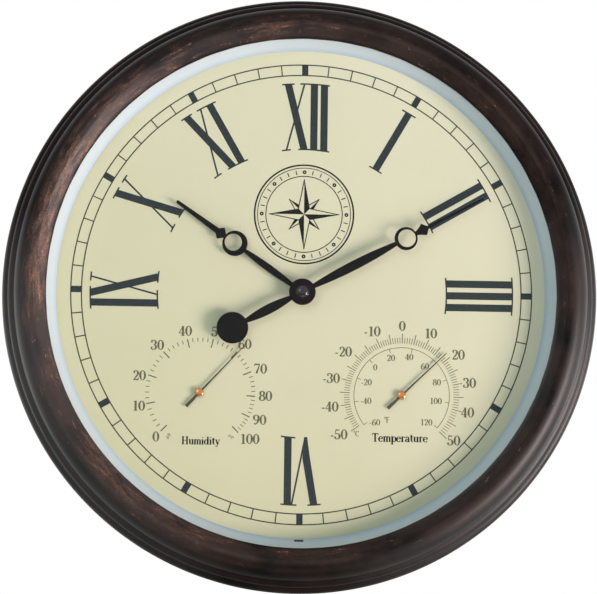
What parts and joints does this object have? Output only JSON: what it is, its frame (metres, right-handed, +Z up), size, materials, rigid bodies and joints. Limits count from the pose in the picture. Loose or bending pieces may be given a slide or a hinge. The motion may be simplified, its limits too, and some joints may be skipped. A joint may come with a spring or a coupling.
{
  "type": "outdoor wall clock",
  "caption": "Round outdoor wall clock: moulded dark frame, flat glass, cream dial with hour and minute hands, thermometer and hygrometer, keyhole hanger and battery movement at the back.",
  "frame": {"origin": "centre of the clock's box: on the hands' axis, at half the depth of the frame", "axes": "+Z up, towards twelve o'clock; the dial faces -Y and the wall is on the +Y side; +X to the right as seen from the front"},
  "size_m": [0.61, 0.0636, 0.61],
  "materials": {
    "frame_bronze": "dark brown bronze paint, copper rubbed through on the raised rolls",
    "glass": "clear flat glass",
    "rubber": "black rubber",
    "foam": "grey closed-cell foam strip",
    "ring_blue": "pale blue-white paint, satin",
    "dial_cream": "cream lacquer with dark print",
    "hand_black": "black paint, semi-gloss",
    "copper": "polished copper",
    "pointer_olive": "dark olive paint",
    "cover_plastic": "dark brown moulded plastic",
    "movement_plastic": "black moulded plastic",
    "gear_plastic": "natural white plastic",
    "board_green": "green circuit board",
    "brass": "plain brass",
    "steel": "zinc-plated steel",
    "coil_copper": "enamelled copper wire",
    "battery_wrap": "plain grey battery sleeve"
  },
  "bodies": {
    "case": {"frame_ring": "frame_bronze", "glass_lens": "glass", "lens_seal": "rubber", "inner_ring": "ring_blue", "dial_plate": "dial_cream", "dial_seal": "foam", "dial_spacer": "gear_plastic", "back_cover": "cover_plastic", "cover_seal": "foam", "cover_screw_1": "steel", "cover_screw_2": "steel", "cover_screw_3": "steel", "cover_screw_4": "steel", "cover_screw_5": "steel", "cover_screw_6": "steel", "hanger_plate": "steel", "hanger_screw_left": "steel", "hanger_screw_right": "steel", "movement_base": "movement_plastic", "movement_back": "movement_plastic", "rubber_washer": "rubber", "brass_washer": "brass", "hex_nut": "brass", "battery": "battery_wrap", "battery_contact_left": "steel", "battery_contact_right": "steel", "circuit_board": "board_green", "motor_stator": "steel", "motor_coil": "coil_copper", "humidity_bracket": "steel", "humidity_coil": "brass", "temperature_bracket": "steel", "temperature_coil": "brass"},
    "movement_cover": {"movement_cover": "cover_plastic", "movement_cover_seal": "foam"},
    "minute_hand": {"minute_arbor": "brass", "minute_hand": "hand_black", "hand_cap": "hand_black"},
    "hour_hand": {"hour_wheel": "gear_plastic", "hour_hand": "hand_black"},
    "minute_wheel": {"minute_wheel": "gear_plastic"},
    "setting_knob": {"setting_knob": "gear_plastic"},
    "rotor": {"motor_rotor": "gear_plastic"},
    "intermediate_wheel": {"intermediate_wheel": "gear_plastic"},
    "second_wheel": {"second_wheel": "gear_plastic"},
    "third_wheel": {"third_wheel": "gear_plastic"},
    "centre_wheel": {"centre_wheel": "gear_plastic"},
    "humidity_pointer": {"humidity_staff": "steel", "humidity_pointer": "pointer_olive", "humidity_pointer_cap": "copper"},
    "temperature_pointer": {"temperature_staff": "steel", "temperature_pointer": "pointer_olive", "temperature_pointer_cap": "copper"}
  },
  "joints": [
    {"name": "minute_hand_turn", "type": "hinge", "parent": "case", "child": "minute_hand", "pos_m": [0, 0, 0], "axis": [0, 1, 0], "continuous": true},
    {"name": "hour_hand_turn", "type": "hinge", "parent": "case", "child": "hour_hand", "pos_m": [0, 0, 0], "axis": [0, 1, 0], "continuous": true},
    {"name": "minute_wheel_turn", "type": "hinge", "parent": "case", "child": "minute_wheel", "pos_m": [0.01, 0, 0], "axis": [0, 1, 0], "continuous": true},
    {"name": "setting_knob_turn", "type": "hinge", "parent": "case", "child": "setting_knob", "pos_m": [0.02, 0, 0], "axis": [0, 1, 0], "continuous": true},
    {"name": "rotor_turn", "type": "hinge", "parent": "case", "child": "rotor", "pos_m": [-0.00903, 0, -0.0066], "axis": [0, 1, 0], "continuous": true},
    {"name": "intermediate_wheel_turn", "type": "hinge", "parent": "case", "child": "intermediate_wheel", "pos_m": [-0.01447, 0, -0.00407], "axis": [0, 1, 0], "continuous": true},
    {"name": "second_wheel_turn", "type": "hinge", "parent": "case", "child": "second_wheel", "pos_m": [-0.01447, 0, 0.00293], "axis": [0, 1, 0], "continuous": true},
    {"name": "third_wheel_turn", "type": "hinge", "parent": "case", "child": "third_wheel", "pos_m": [-0.00601, 0, 0.00601], "axis": [0, 1, 0], "continuous": true},
    {"name": "centre_wheel_turn", "type": "hinge", "parent": "case", "child": "centre_wheel", "pos_m": [0, 0, 0], "axis": [0, 1, 0], "continuous": true},
    {"name": "humidity_pointer_turn", "type": "hinge", "parent": "case", "child": "humidity_pointer", "pos_m": [-0.1024, 0, -0.103], "axis": [0, 1, 0], "range_deg": [-178.1, 92.6], "stiffness_Nm_per_rad": 0.004},
    {"name": "temperature_pointer_turn", "type": "hinge", "parent": "case", "child": "temperature_pointer", "pos_m": [0.1024, 0, -0.103], "axis": [0, 1, 0], "range_deg": [-172.3, 87.2], "stiffness_Nm_per_rad": 0.004},
    {"name": "movement_cover_slide", "type": "slide", "parent": "case", "child": "movement_cover", "axis": [0, 1, 0], "range_m": [0, 0.03]}
  ],
  "couplings": [
    {"joint": "hour_hand_turn", "follows": "minute_hand_turn", "ratio": 0.083333},
    {"joint": "minute_wheel_turn", "follows": "minute_hand_turn", "ratio": -0.33333},
    {"joint": "setting_knob_turn", "follows": "minute_hand_turn", "ratio": 1},
    {"joint": "intermediate_wheel_turn", "follows": "rotor_turn", "ratio": -0.2},
    {"joint": "second_wheel_turn", "follows": "rotor_turn", "ratio": 0.033333},
    {"joint": "third_wheel_turn", "follows": "rotor_turn", "ratio": -0.0041667},
    {"joint": "centre_wheel_turn", "follows": "rotor_turn", "ratio": 0.00055556}
  ]
}
